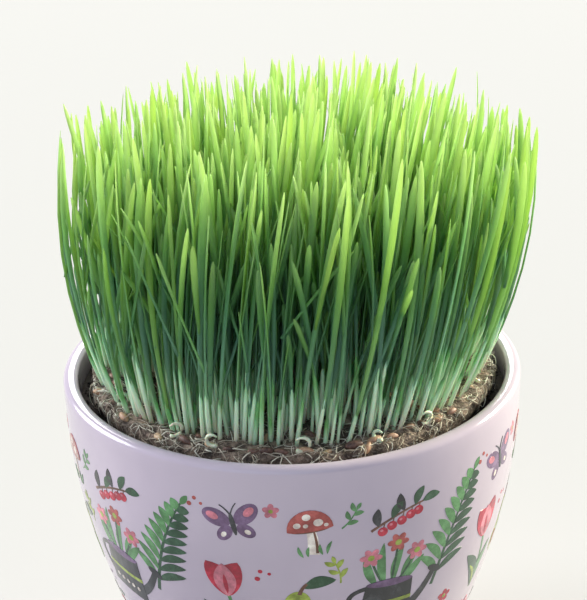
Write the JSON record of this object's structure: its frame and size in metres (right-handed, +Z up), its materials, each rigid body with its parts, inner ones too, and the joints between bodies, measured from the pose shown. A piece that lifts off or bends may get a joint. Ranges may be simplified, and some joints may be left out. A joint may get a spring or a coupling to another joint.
{
  "type": "wheatgrass pot",
  "caption": "Round tapering glazed pot filled with soil, with a mat of roots and sprouted seeds under a dense stand of upright wheatgrass shoots.",
  "frame": {"origin": "middle of the pot's flat foot, on the surface the pot stands on", "axes": "+Z up along the pot's axis, -Y towards the front, +X to the right seen from the front"},
  "size_m": [0.1807, 0.178, 0.2625],
  "materials": {
    "glaze": "gloss",
    "soil": "matte",
    "root_mat": "matte",
    "leaf": "satin"
  },
  "bodies": {
    "root": {"pot": "glaze", "seed_mat": "root_mat", "shoots_01": "leaf", "shoots_02": "leaf", "shoots_03": "leaf", "shoots_04": "leaf", "shoots_05": "leaf", "shoots_06": "leaf", "shoots_07": "leaf", "shoots_08": "leaf", "shoots_09": "leaf", "shoots_10": "leaf", "shoots_11": "leaf", "shoots_12": "leaf", "shoots_13": "leaf", "shoots_14": "leaf", "shoots_15": "leaf", "shoots_16": "leaf", "shoots_17": "leaf", "shoots_18": "leaf", "shoots_19": "leaf", "shoots_20": "leaf", "shoots_21": "leaf", "shoots_22": "leaf", "shoots_23": "leaf", "shoots_24": "leaf", "shoots_25": "leaf", "shoots_26": "leaf", "shoots_27": "leaf", "shoots_28": "leaf", "shoots_29": "leaf", "shoots_30": "leaf", "shoots_31": "leaf", "shoots_32": "leaf", "shoots_33": "leaf", "shoots_34": "leaf", "shoots_35": "leaf", "shoots_36": "leaf", "shoots_37": "leaf", "shoots_38": "leaf", "shoots_39": "leaf", "shoots_40": "leaf", "shoots_41": "leaf", "shoots_42": "leaf", "shoots_43": "leaf", "shoots_44": "leaf", "soil": "soil"}
  },
  "joints": []
}
